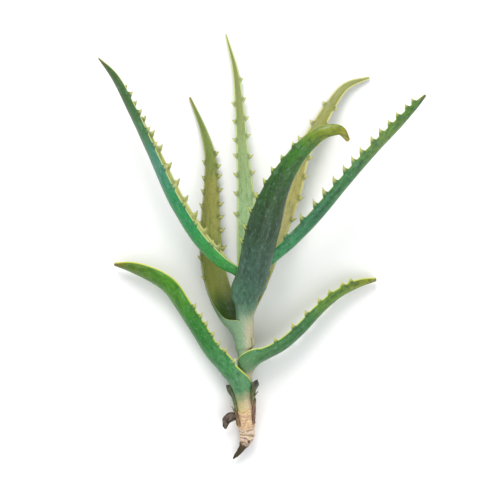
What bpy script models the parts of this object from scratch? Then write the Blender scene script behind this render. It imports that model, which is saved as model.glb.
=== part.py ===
"""A young aloe offset, pulled up whole and lying on its back.

Lengths are in millimetres here and become metres in the meshes. The plant lies on the plane z = 0 with its stub
toward -Y, its leaf tips toward +Y and the front of its rosette facing +Z. Every leaf is a channelled, thick
blade whose base is a sheath round the stem. A leaf's keel is the middle line of its outer face.
"""

import math
from dataclasses import astuple, dataclass

import bmesh
import bpy
from mathutils import Vector

MM = 0.001
CENTRE = Vector((0.55, -0.25, -0.28))  # moves the plant so that its box stands centred on the origin

# Leaf blades
LEAF_SEGMENTS = 10  # facets across one face of a leaf
ROW_SPACING = 9.0  # longest distance between two rows of a blade
TOOTH_HALF_WIDTH = 1.9  # half of a tooth's foot along the margin
TOOTH_LEAN = 0.9  # how far a tooth's point leans toward the leaf tip
TIP_LENGTH = 3.0  # distance from the last full row to the very tip

# Stem
STEM_SIDES = 18
STEM_ROW_SPACING = 4.5
WRINKLE_DEPTH = 0.35  # depth of the wrinkles on the shrunken stub
WRINKLE_PITCH = 5.2  # distance between two wrinkles
STUB_TOP = 28.0  # the wrinkles run from the stub's end to here, measured along the stem

# Middle line of the stem from the twisted end of the stub to the crown: x, y, z
STEM_LINE = (
    (-22.0, -161.0, 4.6),
    (-15.5, -153.0, 5.6),
    (-11.6, -143.5, 6.3),
    (-12.4, -134.0, 8.0),
    (-13.2, -123.5, 10.0),
    (-14.3, -110.0, 12.5),
    (-13.5, -94.5, 15.5),
    (-13.1, -79.0, 18.5),
    (-13.1, -64.0, 21.8),
    (-13.1, -49.0, 25.0),
    (-12.4, -34.0, 27.6),
)
# Stem radius against the distance along that line
STEM_RADII = (
    (0.0, 0.6),
    (4.0, 1.9),
    (10.0, 2.9),
    (15.0, 4.3),
    (20.0, 5.7),
    (27.0, 6.2),
    (33.0, 5.5),
    (52.0, 5.1),
    (66.0, 4.7),
    (86.0, 4.4),
    (101.0, 3.9),
    (112.0, 2.9),
    (117.0, 1.2),
)


@dataclass(frozen=True)
class Knot:
    """One shaping point of a leaf: where its keel is and what its section looks like there."""

    x: float
    y: float
    z: float
    roll: float  # degrees: 0 has the channel facing +Z, 90 has it facing right of the leaf's own direction
    radius: float  # radius of the outer face
    half_angle: float  # degrees from the keel to a margin
    thickness: float  # thickness at the keel
    depth: float = 1.0  # above 1 draws the round section out into a deeper channel


@dataclass(frozen=True)
class Leaf:
    """One leaf, stub or dry flap, with its knots from the foot to the tip."""

    name: str
    colour: tuple
    roughness: float
    knots: tuple
    first_tooth: float = 0.0  # distance from the foot to the first tooth
    tooth_pitch: float = 0.0  # 0 makes a smooth margin
    tooth_length: float = 0.0
    blunt: bool = False  # a torn end in place of a point


def hermite(values, places, place):
    """Smooth value at a place between the given values, each a tuple of numbers."""
    last = len(places) - 2
    index = 0
    while index < last and place > places[index + 1]:
        index += 1
    span = places[index + 1] - places[index]
    step = min(max((place - places[index]) / span, 0.0), 1.0)

    def slope(at, channel):
        if at == 0 or at == len(places) - 1:
            low = max(at - 1, 0)
            high = min(at + 1, len(places) - 1)
            return (values[high][channel] - values[low][channel]) / (places[high] - places[low])
        before = places[at] - places[at - 1]
        after = places[at + 1] - places[at]
        fall = (values[at][channel] - values[at - 1][channel]) / before
        rise = (values[at + 1][channel] - values[at][channel]) / after
        return (fall * after + rise * before) / (before + after)

    result = []
    for channel in range(len(values[0])):
        start, end = values[index][channel], values[index + 1][channel]
        leave, arrive = slope(index, channel) * span, slope(index + 1, channel) * span
        square, cube = step * step, step * step * step
        result.append(
            start * (2 * cube - 3 * square + 1)
            + leave * (cube - 2 * square + step)
            + end * (3 * square - 2 * cube)
            + arrive * (cube - square)
        )
    return result


class Track:
    """A smooth line through rows whose first three numbers are x, y and z."""

    def __init__(self, rows):
        self.rows = [tuple(row) for row in rows]
        self.places = [0.0]
        for before, after in zip(self.rows, self.rows[1:]):
            chord = (Vector(after[:3]) - Vector(before[:3])).length
            self.places.append(self.places[-1] + chord)
        self.length = self.places[-1]

    def at(self, place):
        return hermite(self.rows, self.places, place)

    def point(self, place):
        return Vector(self.at(place)[:3])

    def direction(self, place):
        reach = 0.5
        low, high = max(place - reach, 0.0), min(place + reach, self.length)
        return (self.point(high) - self.point(low)).normalized()


STEM = Track(STEM_LINE)


def facing(direction, roll):
    """Unit vectors out of the channel and across it, for a leaf running in a direction."""
    up = Vector((0, 0, 1))
    up = (up - direction * up.dot(direction)).normalized()
    side = direction.cross(up)
    face = up * math.cos(roll) + side * math.sin(roll)
    return face, direction.cross(face)


def on_stem(place, roll, radius, half_angle, thickness):
    """A knot whose section is centred on the stem, at a distance along it."""
    face, _ = facing(STEM.direction(place), math.radians(roll))
    keel = STEM.point(place) - face * radius
    return Knot(keel.x, keel.y, keel.z, roll, radius, half_angle, thickness)


LEAVES = (
    Leaf(
        "leaf_lower_left",
        (0.10, 0.26, 0.09, 1.0),
        0.42,
        (
            on_stem(39, 95, 6.8, 168, 0.9),
            on_stem(49, 97, 7.8, 150, 0.7),
            Knot(-24.8, -104.4, 14.4, 99, 11.4, 84, 1.0, 1.3),
            Knot(-28.9, -99.1, 15.2, 103, 10.6, 80, 1.7, 1.2),
            Knot(-38.6, -84.6, 16.2, 112, 8.6, 86, 3.4, 1.1),
            Knot(-51.6, -62.0, 17.4, 118, 9.4, 82, 4.2),
            Knot(-61.2, -46.4, 17.2, 120, 8.8, 80, 4.0),
            Knot(-71.2, -33.6, 16.2, 119, 8.6, 78, 3.8),
            Knot(-84.4, -24.6, 14.2, 117, 8.0, 76, 3.4),
            Knot(-99.9, -17.8, 10.6, 116, 5.4, 74, 2.8),
            Knot(-113.0, -14.2, 7.0, 114, 1.8, 70, 1.3),
        ),
        first_tooth=44.0,
        tooth_pitch=9.5,
        tooth_length=2.6,
    ),
    Leaf(
        "leaf_lower_right",
        (0.12, 0.27, 0.08, 1.0),
        0.42,
        (
            on_stem(57, -94, 6.1, 162, 0.6),
            on_stem(66, -97, 7.1, 146, 0.7),
            Knot(-4.6, -90.6, 16.8, -100, 9.2, 82, 1.1, 1.15),
            Knot(-1.6, -87.8, 17.0, -102, 9.2, 84, 1.6, 1.1),
            Knot(5.0, -84.0, 17.0, -105, 7.8, 88, 2.4),
            Knot(15.3, -78.0, 17.4, -108, 8.2, 84, 3.2),
            Knot(30.3, -64.6, 16.6, -110, 7.4, 80, 3.6),
            Knot(43.1, -50.6, 15.0, -110, 6.6, 78, 3.4),
            Knot(58.3, -38.0, 12.0, -110, 5.6, 76, 2.9),
            Knot(73.7, -30.6, 8.4, -110, 3.8, 74, 2.2),
            Knot(86.8, -25.2, 5.0, -110, 1.2, 70, 1.0),
        ),
        first_tooth=40.0,
        tooth_pitch=11.0,
        tooth_length=2.6,
    ),
    Leaf(
        "leaf_back_left",
        (0.22, 0.27, 0.09, 1.0),
        0.45,
        (
            on_stem(79, 45, 5.7, 158, 0.6),
            on_stem(86, 44, 7.2, 150, 0.7),
            on_stem(92, 44, 8.8, 132, 0.8),
            Knot(-25.4, -59.0, 12.8, 42, 10.4, 88, 1.3, 1.15),
            Knot(-31.2, -49.6, 12.2, 41, 10.6, 80, 2.0, 1.1),
            Knot(-39.4, -26.0, 12.4, 37, 10.2, 76, 3.2),
            Knot(-42.6, -2.0, 11.8, 35, 9.8, 72, 3.8),
            Knot(-42.4, 20.0, 10.2, 35, 8.4, 70, 3.4),
            Knot(-41.0, 45.0, 7.8, 34, 6.8, 68, 2.8),
            Knot(-41.4, 72.0, 4.6, 32, 5.0, 66, 2.2),
            Knot(-45.6, 87.0, 2.4, 30, 3.2, 64, 1.6),
            Knot(-55.6, 113.8, 0.3, 28, 1.0, 60, 0.8),
        ),
        first_tooth=58.0,
        tooth_pitch=11.5,
        tooth_length=2.8,
    ),
    Leaf(
        "leaf_front",
        (0.06, 0.17, 0.06, 1.0),
        0.4,
        (
            on_stem(90, 180, 5.3, 158, 0.6),
            on_stem(97, 180, 6.6, 156, 0.6),
            on_stem(108, 181, 7.9, 116, 0.9),
            Knot(-12.0, -39.0, 39.4, 186, 9.8, 96, 2.0),
            Knot(-6.8, -24.7, 47.4, 192, 11.6, 79, 3.4),
            Knot(-0.8, -3.4, 56.0, 198, 12.6, 74, 4.4),
            Knot(4.6, 18.0, 63.0, 198, 12.0, 74, 4.4),
            Knot(10.4, 37.0, 68.0, 198, 9.2, 74, 4.0),
            Knot(20.2, 56.6, 73.4, 196, 6.8, 72, 3.4),
            Knot(31.8, 71.0, 77.0, 192, 5.6, 70, 3.0),
            Knot(42.6, 79.4, 80.0, 188, 4.2, 68, 2.4),
            Knot(53.6, 80.9, 81.6, 182, 2.6, 66, 1.8),
            Knot(59.8, 73.6, 79.0, 178, 0.9, 64, 1.0),
        ),
        first_tooth=66.0,
        tooth_pitch=12.5,
        tooth_length=3.0,
    ),
    Leaf(
        "leaf_back_right",
        (0.28, 0.28, 0.10, 1.0),
        0.45,
        (
            on_stem(104, -36, 5.9, 46, 0.6),
            on_stem(112, -30, 6.6, 46, 1.1),
            Knot(-3.2, -32.0, 16.6, -22, 9.4, 45, 2.2),
            Knot(3.4, -11.0, 14.2, -14, 10.2, 50, 3.2),
            Knot(13.0, 14.6, 12.0, -16, 9.8, 54, 3.8),
            Knot(22.0, 37.0, 10.2, -20, 9.0, 56, 3.6),
            Knot(32.0, 71.0, 7.2, -24, 7.2, 58, 3.0),
            Knot(40.2, 83.6, 6.0, -26, 6.2, 60, 2.6),
            Knot(52.2, 104.0, 3.6, -28, 4.8, 60, 2.2),
            Knot(64.8, 120.2, 1.6, -28, 3.2, 60, 1.6),
            Knot(81.8, 127.2, 0.3, -28, 1.0, 60, 0.8),
        ),
        first_tooth=38.0,
        tooth_pitch=12.0,
        tooth_length=2.6,
    ),
    Leaf(
        "leaf_top_centre",
        (0.38, 0.42, 0.24, 1.0),
        0.45,
        (
            on_stem(104, 10, 4.7, 42, 0.6),
            on_stem(113, 8, 5.5, 46, 1.1),
            Knot(-12.6, -32.8, 20.8, 6, 8.0, 46, 2.0),
            Knot(-12.6, -10.4, 19.8, 8, 8.8, 50, 3.0),
            Knot(-12.8, 11.9, 18.6, 12, 8.8, 54, 3.6),
            Knot(-14.0, 42.0, 15.2, 16, 7.0, 58, 3.2),
            Knot(-16.0, 72.0, 11.2, 18, 5.2, 58, 2.6),
            Knot(-18.2, 106.0, 6.2, 18, 4.0, 58, 2.0),
            Knot(-21.0, 133.0, 3.0, 18, 2.6, 56, 1.4),
            Knot(-28.0, 162.0, 1.0, 18, 0.8, 54, 0.7),
        ),
        first_tooth=52.0,
        tooth_pitch=14.0,
        tooth_length=2.4,
    ),
    Leaf(
        "leaf_upper_left",
        (0.16, 0.32, 0.19, 1.0),
        0.4,
        (
            on_stem(113, 100, 4.1, 52, 0.9),
            on_stem(122, 98, 4.6, 62, 1.2),
            Knot(-20.0, -22.8, 30.8, 88, 5.4, 100, 1.8),
            Knot(-31.5, -16.4, 34.2, 82, 7.4, 104, 2.6),
            Knot(-46.2, -2.9, 37.0, 80, 8.4, 104, 3.4),
            Knot(-64.4, 26.4, 38.6, 80, 8.4, 102, 4.0),
            Knot(-84.2, 70.3, 39.0, 80, 7.0, 92, 3.6),
            Knot(-97.4, 99.0, 38.0, 80, 5.8, 88, 3.0),
            Knot(-112.4, 128.0, 35.0, 78, 3.4, 80, 2.2),
            Knot(-122.2, 138.9, 33.0, 76, 1.0, 70, 1.0),
        ),
        first_tooth=40.0,
        tooth_pitch=12.5,
        tooth_length=2.8,
    ),
    Leaf(
        "leaf_right",
        (0.17, 0.32, 0.13, 1.0),
        0.4,
        (
            on_stem(114, -96, 4.2, 54, 0.9),
            on_stem(123, -98, 4.6, 62, 1.2),
            Knot(5.6, -15.6, 31.8, -104, 6.4, 82, 2.0),
            Knot(20.0, -2.8, 35.2, -108, 8.0, 78, 2.8),
            Knot(41.9, 19.4, 37.6, -110, 8.2, 76, 3.6),
            Knot(60.1, 41.4, 38.5, -110, 7.6, 75, 3.6),
            Knot(82.2, 67.1, 38.0, -110, 6.6, 75, 3.2),
            Knot(104.5, 91.6, 35.5, -110, 5.0, 74, 2.6),
            Knot(121.1, 111.6, 32.0, -110, 1.2, 70, 1.1),
        ),
        first_tooth=46.0,
        tooth_pitch=13.0,
        tooth_length=4.0,
    ),
    Leaf(
        "leaf_heart",
        (0.45, 0.50, 0.30, 1.0),
        0.5,
        (
            on_stem(120, 150, 1.4, 90, 0.6),
            Knot(-10.6, -27.0, 33.0, 160, 2.4, 90, 0.9),
            Knot(-9.4, -14.0, 35.4, 165, 2.8, 90, 1.1),
            Knot(-9.0, 0.0, 36.4, 170, 2.2, 85, 1.0),
            Knot(-9.4, 10.0, 36.4, 170, 0.8, 80, 0.6),
        ),
    ),
    Leaf(
        "leaf_stub_left",
        (0.10, 0.16, 0.05, 1.0),
        0.6,
        (
            on_stem(38.5, 86, 8.4, 32, 0.8),
            Knot(-24.0, -114.6, 11.4, 96, 6.8, 40, 1.3),
            Knot(-26.8, -109.6, 11.8, 104, 5.2, 40, 1.8),
            Knot(-28.6, -106.2, 12.2, 110, 3.4, 40, 1.3),
        ),
        blunt=True,
    ),
    Leaf(
        "leaf_stub_right",
        (0.07, 0.08, 0.03, 1.0),
        0.65,
        (
            on_stem(45, -116, 10.4, 14, 0.7),
            Knot(-3.2, -105.0, 18.8, -112, 6.0, 20, 1.1),
            Knot(-1.8, -101.0, 19.4, -106, 3.6, 36, 1.4),
            Knot(-2.4, -98.0, 20.0, -102, 2.2, 42, 1.0),
        ),
        blunt=True,
    ),
    Leaf(
        "dry_flap_right_upper",
        (0.16, 0.09, 0.05, 1.0),
        0.8,
        (
            on_stem(45.5, -82, 8.4, 16, 0.6),
            on_stem(48.5, -80, 9.4, 16, 0.6),
            Knot(-3.4, -109.0, 12.4, -80, 5.0, 20, 0.5),
        ),
        blunt=True,
    ),
    Leaf(
        "dry_flap_right_lower",
        (0.14, 0.08, 0.04, 1.0),
        0.8,
        (
            on_stem(31.5, -88, 8.0, 30, 0.6),
            on_stem(37.0, -88, 8.4, 30, 0.7),
            Knot(-4.8, -119.0, 10.6, -88, 7.0, 24, 0.6),
        ),
        blunt=True,
    ),
    Leaf(
        "dry_flap_left",
        (0.17, 0.11, 0.06, 1.0),
        0.8,
        (
            on_stem(29.5, 138, 8.6, 18, 0.6),
            Knot(-18.2, -127.2, 16.0, 134, 7.6, 18, 0.7),
            Knot(-20.4, -124.4, 16.6, 128, 6.4, 14, 0.6),
        ),
        blunt=True,
    ),
    Leaf(
        "dry_collar",
        (0.55, 0.42, 0.30, 1.0),
        0.75,
        (
            on_stem(29.0, 20, 7.5, 170, 0.7),
            on_stem(32.5, 20, 7.3, 170, 0.7),
            on_stem(36.5, 20, 6.7, 170, 0.7),
        ),
        blunt=True,
    ),
    Leaf(
        "dry_leaf_curled",
        (0.07, 0.055, 0.045, 1.0),
        0.7,
        (
            Knot(-21.8, -128.4, 8.2, 60, 3.4, 40, 1.0),
            Knot(-26.4, -127.6, 8.8, 78, 3.0, 58, 1.3),
            Knot(-29.2, -131.6, 8.6, 96, 2.6, 62, 1.4),
            Knot(-29.6, -136.2, 7.6, 112, 2.0, 56, 1.1),
            Knot(-27.4, -138.8, 6.6, 130, 0.8, 50, 0.6),
        ),
    ),
)


def tooth_places(leaf, length):
    """Distances along a leaf at which its margins carry a tooth."""
    places = []
    place = leaf.first_tooth
    while leaf.tooth_pitch and place < length - 2.0 * TIP_LENGTH:
        places.append(place)
        place += leaf.tooth_pitch * (1.0 - 0.25 * place / length)
    return places


def blade_rows(leaf, length):
    """Distances along a leaf of its rows, each with the share of a full tooth that it carries."""
    rows = {0.0: 0.0, length - TIP_LENGTH: 0.0}
    if leaf.blunt:
        rows = {0.0: 0.0, length: 0.0}
    for place in tooth_places(leaf, length):
        rows[place - TOOTH_HALF_WIDTH] = 0.0
        rows[place + TOOTH_HALF_WIDTH] = 0.0
        rows[place] = 1.0
    places = sorted(rows)
    for before, after in zip(places, places[1:]):
        extra = int((after - before) // (ROW_SPACING if leaf.tooth_pitch else ROW_SPACING / 2))
        for count in range(extra):
            rows[before + (after - before) * (count + 1) / (extra + 1)] = 0.0
    return sorted(rows.items())


def section(track, place, tooth):
    """Points round a leaf's section: the outer face from margin to margin, then back along the inner face."""
    x, y, z, roll, radius, half_angle, thickness, depth = track.at(place)
    direction = track.direction(place)
    face, across = facing(direction, math.radians(roll))
    keel = Vector((x, y, z))
    outer, inner = [], []
    for index in range(LEAF_SEGMENTS + 1):
        share = 2.0 * index / LEAF_SEGMENTS - 1.0
        angle = math.radians(half_angle) * share
        point = keel + face * depth * radius * (1 - math.cos(angle)) + across * radius * math.sin(angle)
        inward = (face * math.cos(angle) - across * depth * math.sin(angle)).normalized()
        flesh = thickness * math.sqrt(max(1.0 - share * share, 0.0))
        if abs(share) == 1.0:
            outward = (face * depth * math.sin(abs(angle)) + across * math.cos(angle) * share).normalized()
            point += (outward + direction * TOOTH_LEAN / 3.0) * tooth
        outer.append(point)
        inner.append(point + inward * flesh)
    return outer + inner[-2:0:-1]


def close_foot(mesh, row):
    """Join the outer and the inner edge of a leaf's first row with a strip of faces."""
    count = len(row)
    for index in range(count // 2):
        corners = [row[index], row[index + 1], row[count - index - 1], row[-index % count]]
        mesh.faces.new(list(dict.fromkeys(corners)))


def bend_grid(name, sections, close_start, close_end):
    """Bend a grid into a tube through sections, closing each end with a strip of faces or in one point."""
    width = len(sections[0])
    mesh = bmesh.new()
    made = bmesh.ops.create_grid(mesh, x_segments=width, y_segments=len(sections) - 1, size=1.0)["verts"]
    rows = [made[index * (width + 1) : (index + 1) * (width + 1)] for index in range(len(sections))]
    seam = {}
    for row, points in zip(rows, sections):
        for vertex, point in zip(row, points + points[:1]):
            vertex.co = (point + CENTRE) * MM
        seam[row[-1]] = row[0]
    bmesh.ops.weld_verts(mesh, targetmap=seam)
    for row, close in ((rows[0], close_start), (rows[-1], close_end)):
        ring = row[:-1]
        if close == "strip":
            close_foot(mesh, ring)
        else:
            middle = mesh.verts.new((close + CENTRE) * MM)
            for before, after in zip(ring, ring[1:] + ring[:1]):
                mesh.faces.new((before, after, middle))
    bmesh.ops.recalc_face_normals(mesh, faces=mesh.faces)
    data = bpy.data.meshes.new(name)
    mesh.to_mesh(data)
    mesh.free()
    return data


def material(name, colour, roughness):
    """A Principled material in one colour."""
    made = bpy.data.materials.new(name)
    made.use_nodes = True
    shader = made.node_tree.nodes["Principled BSDF"]
    shader.inputs["Base Color"].default_value = colour
    shader.inputs["Roughness"].default_value = roughness
    shader.inputs["Metallic"].default_value = 0.0
    return made


def add_object(name, data, colour, roughness):
    """Put a mesh in the scene with a material of its own."""
    data.materials.append(material(name, colour, roughness))
    data.shade_smooth()
    data.set_sharp_from_angle(angle=math.radians(50))
    thing = bpy.data.objects.new(name, data)
    bpy.context.collection.objects.link(thing)
    return thing


def build_leaf(leaf):
    """Build one leaf from its knots."""
    track = Track([astuple(knot) for knot in leaf.knots])
    sections = []
    for place, tooth in blade_rows(leaf, track.length):
        size = leaf.tooth_length * (0.45 + 0.55 * math.sin(math.pi * min(place / track.length, 0.98)))
        sections.append(section(track, place, tooth * size))
    tip = "strip" if leaf.blunt else track.point(track.length)
    data = bend_grid(leaf.name, sections, "strip", tip)
    return add_object(leaf.name, data, leaf.colour, leaf.roughness)


def build_stem():
    """Build the stem: the twisted end, the wrinkled stub and the smooth core inside the sheaths."""
    radii = [(radius,) for _, radius in STEM_RADII]
    places = [place for place, _ in STEM_RADII]
    end = places[-1]
    count = int(end / STEM_ROW_SPACING) + 1
    sections = []
    for index in range(count):
        place = end * index / (count - 1)
        radius = hermite(radii, places, place)[0]
        face, across = facing(STEM.direction(place), 0.0)
        fade = max(0.0, 1.0 - place / STUB_TOP)
        points = []
        for side in range(STEM_SIDES):
            angle = 2.0 * math.pi * side / STEM_SIDES
            fold = math.sin(2.0 * math.pi * place / WRINKLE_PITCH + 2.0 * math.sin(angle))
            reach = radius * (1.0 + 0.05 * math.sin(3.0 * angle + place / 6.0) * min(fade * 4.0, 1.0))
            reach += WRINKLE_DEPTH * fold * min(fade * 2.0, 1.0) * min(radius / 4.0, 1.0)
            points.append(STEM.point(place) + face * reach * math.cos(angle) + across * reach * math.sin(angle))
        sections.append(points)
    start = STEM.point(0.0) - STEM.direction(0.0) * STEM_RADII[0][1]
    finish = STEM.point(end) + STEM.direction(end) * STEM_RADII[-1][1]
    data = bend_grid("stem", sections, start, finish)
    return add_object("stem", data, (0.56, 0.42, 0.30, 1.0), 0.7)


def main():
    for thing in list(bpy.data.objects):
        bpy.data.objects.remove(thing)
    build_stem()
    for leaf in LEAVES:
        build_leaf(leaf)


main()
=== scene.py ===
"""Looks of an uprooted aloe offset: fleshy toothed leaves, sheathed stem, wrinkled stub and dry remains.

Shapes are worked out in millimetres in the same place as the solids of the frame, and become metres in the
meshes. A leaf's keel is the middle line of its outer face. Every leaf carries two attributes that its finish
reads: "growth" holds the share of its length, the place across it from margin to margin and which face it is;
"skin" holds millimetres along it and across it.
"""

import logging
import math
import random
from dataclasses import astuple, dataclass, field
from enum import Enum

import bmesh
import bpy
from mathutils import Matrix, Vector, noise

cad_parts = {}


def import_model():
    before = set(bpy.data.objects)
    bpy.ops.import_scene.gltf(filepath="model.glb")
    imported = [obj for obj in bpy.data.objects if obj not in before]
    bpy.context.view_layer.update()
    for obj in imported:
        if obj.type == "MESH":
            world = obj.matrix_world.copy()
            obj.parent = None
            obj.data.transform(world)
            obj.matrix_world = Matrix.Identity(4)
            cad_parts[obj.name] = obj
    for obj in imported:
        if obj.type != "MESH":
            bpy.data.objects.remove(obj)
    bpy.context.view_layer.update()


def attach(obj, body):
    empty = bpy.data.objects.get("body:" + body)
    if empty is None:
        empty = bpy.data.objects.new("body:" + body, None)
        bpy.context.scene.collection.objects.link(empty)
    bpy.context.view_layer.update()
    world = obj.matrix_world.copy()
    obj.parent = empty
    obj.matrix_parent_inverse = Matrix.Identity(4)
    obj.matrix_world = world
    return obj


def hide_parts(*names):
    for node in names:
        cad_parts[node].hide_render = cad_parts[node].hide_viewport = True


LOG = logging.getLogger("aloe")
MM = 0.001
SHIFT = Vector((0.55, -0.25, -0.28))  # from the plant's own millimetres to the frame's origin
BODY = "root"
COLUMN = -0.01185  # of the sheathed column's middle from the frame's origin toward +X, metres

Colour = tuple[float, float, float]
Stops = tuple[tuple[float, Colour], ...]

# Middle line of the stem from the twisted end of the stub to the crown
STEM_LINE = (
    (-22.0, -161.0, 4.6),
    (-15.5, -153.0, 5.6),
    (-11.6, -143.5, 6.3),
    (-12.4, -134.0, 8.0),
    (-13.2, -123.5, 10.0),
    (-14.3, -110.0, 12.5),
    (-13.5, -94.5, 15.5),
    (-13.1, -79.0, 18.5),
    (-13.1, -64.0, 21.8),
    (-13.1, -49.0, 25.0),
    (-12.4, -34.0, 27.6),
)


def tone(red: int, green: int, blue: int) -> Colour:
    """Linear colour from 8-bit display values.

    Args:
        red: Display red, 0 to 255.
        green: Display green, 0 to 255.
        blue: Display blue, 0 to 255.

    Returns:
        The same colour in linear light.
    """
    return tuple(
        share / 12.92 if share <= 0.04045 else ((share + 0.055) / 1.055) ** 2.4
        for share in (red / 255, green / 255, blue / 255)
    )


def deepen(colour: Colour) -> Colour:
    """A colour as it is under the wax of a fleshy leaf: darker and fuller."""
    grey = 0.2 * colour[0] + 0.7 * colour[1] + 0.1 * colour[2]
    return tuple(max(0.0, grey + 1.18 * (part - grey)) * (0.54 + 0.46 * grey) for part in colour)


def smooth(low: float, high: float, value: float) -> float:
    """Ease from 0 to 1 as a value goes from low to high.

    Args:
        low: Value at which the result leaves 0.
        high: Value at which the result reaches 1.
        value: The value.

    Returns:
        A share from 0 to 1.
    """
    step = min(max((value - low) / (high - low), 0.0), 1.0)
    return step * step * (3.0 - 2.0 * step)


class Track:
    """A smooth line through rows of numbers whose first three are x, y and z."""

    def __init__(self, rows: list[tuple[float, ...]]) -> None:
        """Measure the line.

        Args:
            rows: The rows, from one end to the other.
        """
        self.rows = rows
        self.places = [0.0]
        for before, after in zip(rows, rows[1:]):
            chord = (Vector(after[:3]) - Vector(before[:3])).length
            self.places.append(self.places[-1] + chord)
        self.length = self.places[-1]

    def _slope(self, at: int, channel: int) -> float:
        """Rate of change of one number of a row.

        Args:
            at: Index of the row.
            channel: Index of the number.

        Returns:
            The change for each millimetre along the line.
        """
        last = len(self.rows) - 1
        low, high = max(at - 1, 0), min(at + 1, last)
        if at in (0, last):
            return (self.rows[high][channel] - self.rows[low][channel]) / (self.places[high] - self.places[low])
        before = self.places[at] - self.places[low]
        after = self.places[high] - self.places[at]
        fall = (self.rows[at][channel] - self.rows[low][channel]) / before
        rise = (self.rows[high][channel] - self.rows[at][channel]) / after
        return (fall * after + rise * before) / (before + after)

    def at(self, place: float) -> list[float]:
        """Every number of the row at a distance along the line.

        Args:
            place: Distance from the line's start.

        Returns:
            The smoothed row.
        """
        index = 0
        while index < len(self.rows) - 2 and place > self.places[index + 1]:
            index += 1
        span = self.places[index + 1] - self.places[index]
        step = min(max((place - self.places[index]) / span, 0.0), 1.0)
        square, cube = step * step, step * step * step
        weights = (2 * cube - 3 * square + 1, cube - 2 * square + step, 3 * square - 2 * cube, cube - square)
        row = []
        for channel in range(len(self.rows[0])):
            leave, arrive = self._slope(index, channel) * span, self._slope(index + 1, channel) * span
            ends = (self.rows[index][channel], leave, self.rows[index + 1][channel], arrive)
            row.append(sum(weight * end for weight, end in zip(weights, ends)))
        return row

    def point(self, place: float) -> Vector:
        """Point at a distance along the line."""
        return Vector(self.at(place)[:3])

    def direction(self, place: float) -> Vector:
        """Unit direction of the line at a distance along it."""
        low, high = max(place - 0.5, 0.0), min(place + 0.5, self.length)
        return (self.point(high) - self.point(low)).normalized()


PORES = ((0.35, (0.12, 0.12, 0.12)), (0.65, (0.80, 0.80, 0.80)))  # from pit to pore of the skin
STEM = Track([tuple(row) for row in STEM_LINE])


def facing(direction: Vector, roll: float) -> tuple[Vector, Vector]:
    """Unit vectors out of a channel and across it.

    Args:
        direction: Unit direction in which the leaf runs.
        roll: Radians; 0 has the channel facing up, a quarter turn has it facing right.

    Returns:
        The vector out of the channel and the one across it.
    """
    up = Vector((0, 0, 1))
    up = (up - direction * up.dot(direction)).normalized()
    face = up * math.cos(roll) + direction.cross(up) * math.sin(roll)
    return face, direction.cross(face)


@dataclass(frozen=True)
class Knot:
    """One shaping point of a leaf: where its keel is and what its section looks like there."""

    x: float
    y: float
    z: float
    roll: float  # degrees
    radius: float  # radius of the outer face
    half_angle: float  # degrees from the keel to a margin
    thickness: float  # thickness at the keel
    depth: float = 1.0  # above 1 draws the round section out into a deeper channel
    lead: float = 0.0  # how far the margins run ahead of the keel


def on_stem(place: float, roll: float, radius: float, half_angle: float, thickness: float) -> Knot:
    """A knot whose section is centred on the stem.

    Args:
        place: Distance along the stem's middle line.
        roll: Degrees, as in Knot.
        radius: Radius of the outer face.
        half_angle: Degrees from the keel to a margin.
        thickness: Thickness at the keel.

    Returns:
        The knot.
    """
    face, _ = facing(STEM.direction(place), math.radians(roll))
    keel = STEM.point(place) - face * radius
    return Knot(keel.x, keel.y, keel.z, roll, radius, half_angle, thickness)


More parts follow.
